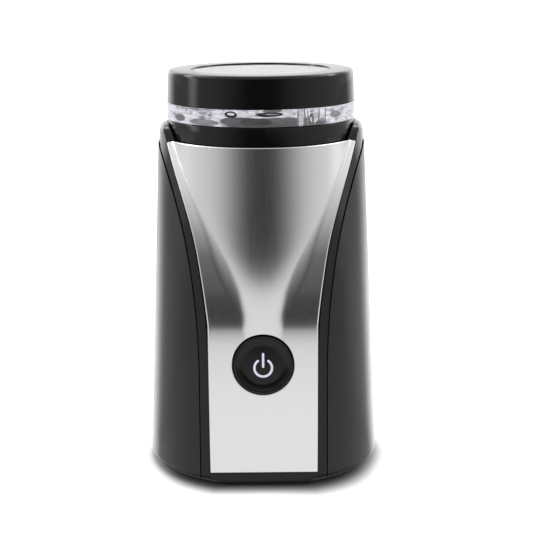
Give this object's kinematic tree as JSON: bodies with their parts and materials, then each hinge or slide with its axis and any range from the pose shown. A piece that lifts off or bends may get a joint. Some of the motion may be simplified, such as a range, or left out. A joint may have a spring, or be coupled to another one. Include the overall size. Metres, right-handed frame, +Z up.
{
  "type": "electric spice grinder",
  "caption": "Upright electric spice grinder with a lift-off clear lid, steel bowl and blade, brushed front panel and a push button.",
  "frame": {"origin": "on the table, under the middle of the body", "axes": "+Z up, the front panel with the button faces -Y, +X to the right seen from the front"},
  "size_m": [0.104, 0.0933, 0.178],
  "materials": {
    "housing_black": "gloss black moulding",
    "lid_black": "gloss black moulding",
    "cover_black": "satin black moulding",
    "clear_plastic": "clear moulded plastic",
    "brushed_panel": "upright brushing",
    "button_black": "gloss black moulding with a white power mark",
    "switch_grey": "moulded",
    "spring_steel": "drawn wire",
    "bowl_steel": "spun and brushed round",
    "blade_steel": "ground",
    "shaft_steel": "turned",
    "lamination_steel": "stacked sheet",
    "copper_wire": "enamelled wire",
    "copper_bars": "turned copper bars",
    "bearing_bronze": "sintered",
    "bracket_aluminium": "die cast",
    "fan_plastic": "moulded",
    "carbon": "pressed carbon",
    "screw_steel": "zinc plated",
    "rubber_black": "moulded",
    "base_black": "fine spark-eroded texture"
  },
  "bodies": {
    "base": {"housing": "housing_black", "base_screws": "screw_steel", "bottom_cover": "base_black", "bowl_gasket": "rubber_black", "bowl_screws": "screw_steel", "bowl_studs": "bowl_steel", "brush_holders": "copper_bars", "button_bezel": "button_black", "button_spring": "spring_steel", "carbon_brushes": "carbon", "collar": "lid_black", "cord_gland": "rubber_black", "field_coils": "copper_wire", "front_panel": "brushed_panel", "grinding_bowl": "bowl_steel", "interlock_spring": "spring_steel", "interlock_switch": "switch_grey", "left_side_cover": "cover_black", "lower_bearing": "bearing_bronze", "lower_motor_bracket": "bracket_aluminium", "motor_mounts": "rubber_black", "motor_screws": "screw_steel", "mount_screws": "screw_steel", "power_switch": "switch_grey", "right_side_cover": "cover_black", "rubber_feet": "rubber_black", "shaft_seal": "rubber_black", "stator_core": "lamination_steel", "upper_bearing": "bearing_bronze", "upper_motor_bracket": "bracket_aluminium"},
    "lid": {"lid_cap": "lid_black", "lid_window": "clear_plastic"},
    "button": {"power_button": "button_black", "switch_plunger": "switch_grey"},
    "rotor": {"motor_shaft": "shaft_steel", "rotor_core": "lamination_steel", "rotor_windings": "copper_wire", "commutator": "copper_bars", "cooling_fan": "fan_plastic", "blade": "blade_steel", "blade_hub": "bowl_steel", "blade_nut": "blade_steel"},
    "interlock": {"interlock_rod": "switch_grey"}
  },
  "joints": [
    {"name": "lid_lift", "type": "slide", "parent": "base", "child": "lid", "axis": [0, 0, 1], "range_m": [0, 0.07]},
    {"name": "button_press", "type": "slide", "parent": "base", "child": "button", "axis": [0, 0.9987, -0.0515], "range_m": [0, 0.0025], "stiffness_N_per_m": 600, "springref_m": -0.0012, "deforming": ["button_spring"]},
    {"name": "rotor_spin", "type": "hinge", "parent": "base", "child": "rotor", "pos_m": [0, 0, 0.07], "axis": [0, 0, 1], "continuous": true},
    {"name": "interlock_rise", "type": "slide", "parent": "base", "child": "interlock", "axis": [0, 0, 1], "range_m": [0, 0.003], "deforming": ["interlock_spring"]}
  ],
  "couplings": [
    {"joint": "interlock_rise", "follows": "lid_lift", "ratio": 0.042857}
  ]
}
